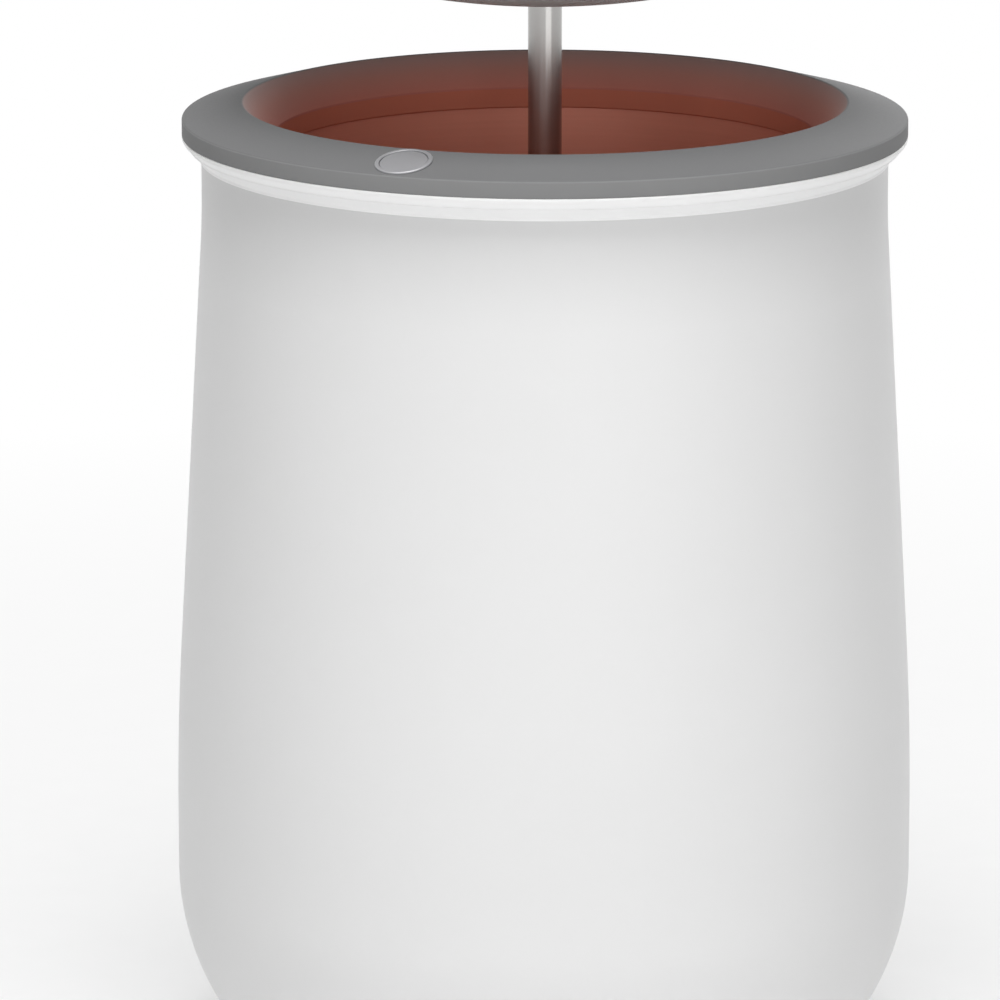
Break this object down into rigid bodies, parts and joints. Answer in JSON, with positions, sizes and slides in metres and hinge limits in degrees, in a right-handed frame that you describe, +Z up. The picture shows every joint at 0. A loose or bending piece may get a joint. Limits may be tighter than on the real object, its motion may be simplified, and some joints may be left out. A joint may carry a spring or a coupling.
{
  "type": "bucket towel warmer",
  "caption": "Bucket-shaped towel warmer with a grey collar, a power button and a dished lid that slides up on a central rod.",
  "frame": {"origin": "bottom centre of the feet, on the bucket's axis", "axes": "+Z up along the bucket's axis, -Y towards the power button, +Y towards the cord gland"},
  "size_m": [0.3082, 0.3082, 0.5193],
  "materials": {
    "white_plastic": "satin moulded",
    "grey_plastic": "fine moulded texture",
    "lid_plastic": "fine moulded texture",
    "pan_plastic": "smooth, darker",
    "black_plastic": "plain",
    "white_nylon": "plain",
    "silver_plastic": "satin plated",
    "rod_steel": "brushed",
    "screw_steel": "zinc plated",
    "liner_aluminium": "warm tinted coating",
    "plain_aluminium": "mill finish",
    "silicone": "plain",
    "black_rubber": "plain",
    "insulation": "needled glass fibre",
    "circuit_board": "solder mask",
    "blue_plastic": "plain",
    "green_plastic": "plain",
    "brass": "plain",
    "lead_sleeve": "braided sleeve"
  },
  "bodies": {
    "bucket": {"outer_shell": "white_plastic", "base_plate": "white_plastic", "base_screws": "screw_steel", "rubber_feet": "black_rubber", "cord_gland": "black_rubber", "collar": "grey_plastic", "collar_screws": "screw_steel", "inner_liner": "liner_aluminium", "liner_gasket": "silicone", "heater_film": "silicone", "insulation_sleeve": "insulation", "floor_insulation": "insulation", "thermostat": "black_plastic", "thermal_fuse": "brass", "column_base": "black_plastic", "column_backing": "plain_aluminium", "column_screws": "screw_steel", "guide_tube": "plain_aluminium", "guide_bush": "white_nylon", "power_board": "circuit_board", "power_relay": "blue_plastic", "power_capacitor": "black_plastic", "terminal_block": "green_plastic", "power_board_screws": "screw_steel", "button_bezel": "silver_plastic", "button_board": "circuit_board", "switch_body": "black_plastic", "button_board_screws": "screw_steel", "button_lead": "lead_sleeve"},
    "lid": {"lift_rod": "rod_steel", "rod_stop": "white_nylon", "stop_pin": "screw_steel", "lid_pan": "pan_plastic", "lid_hub": "white_nylon", "lid_insulation": "insulation", "lid_cover": "lid_plastic", "lid_seal": "black_rubber", "lid_knob": "silver_plastic"},
    "button": {"power_button": "silver_plastic", "switch_plunger": "black_plastic"}
  },
  "joints": [
    {"name": "lid_lift", "type": "slide", "parent": "bucket", "child": "lid", "axis": [0, 0, 1], "range_m": [-0.068, 0.15]},
    {"name": "button_press", "type": "slide", "parent": "bucket", "child": "button", "axis": [0, 0.2553, -0.9669], "range_m": [0, 0.0012], "stiffness_N_per_m": 1500, "springref_m": -0.0004}
  ]
}
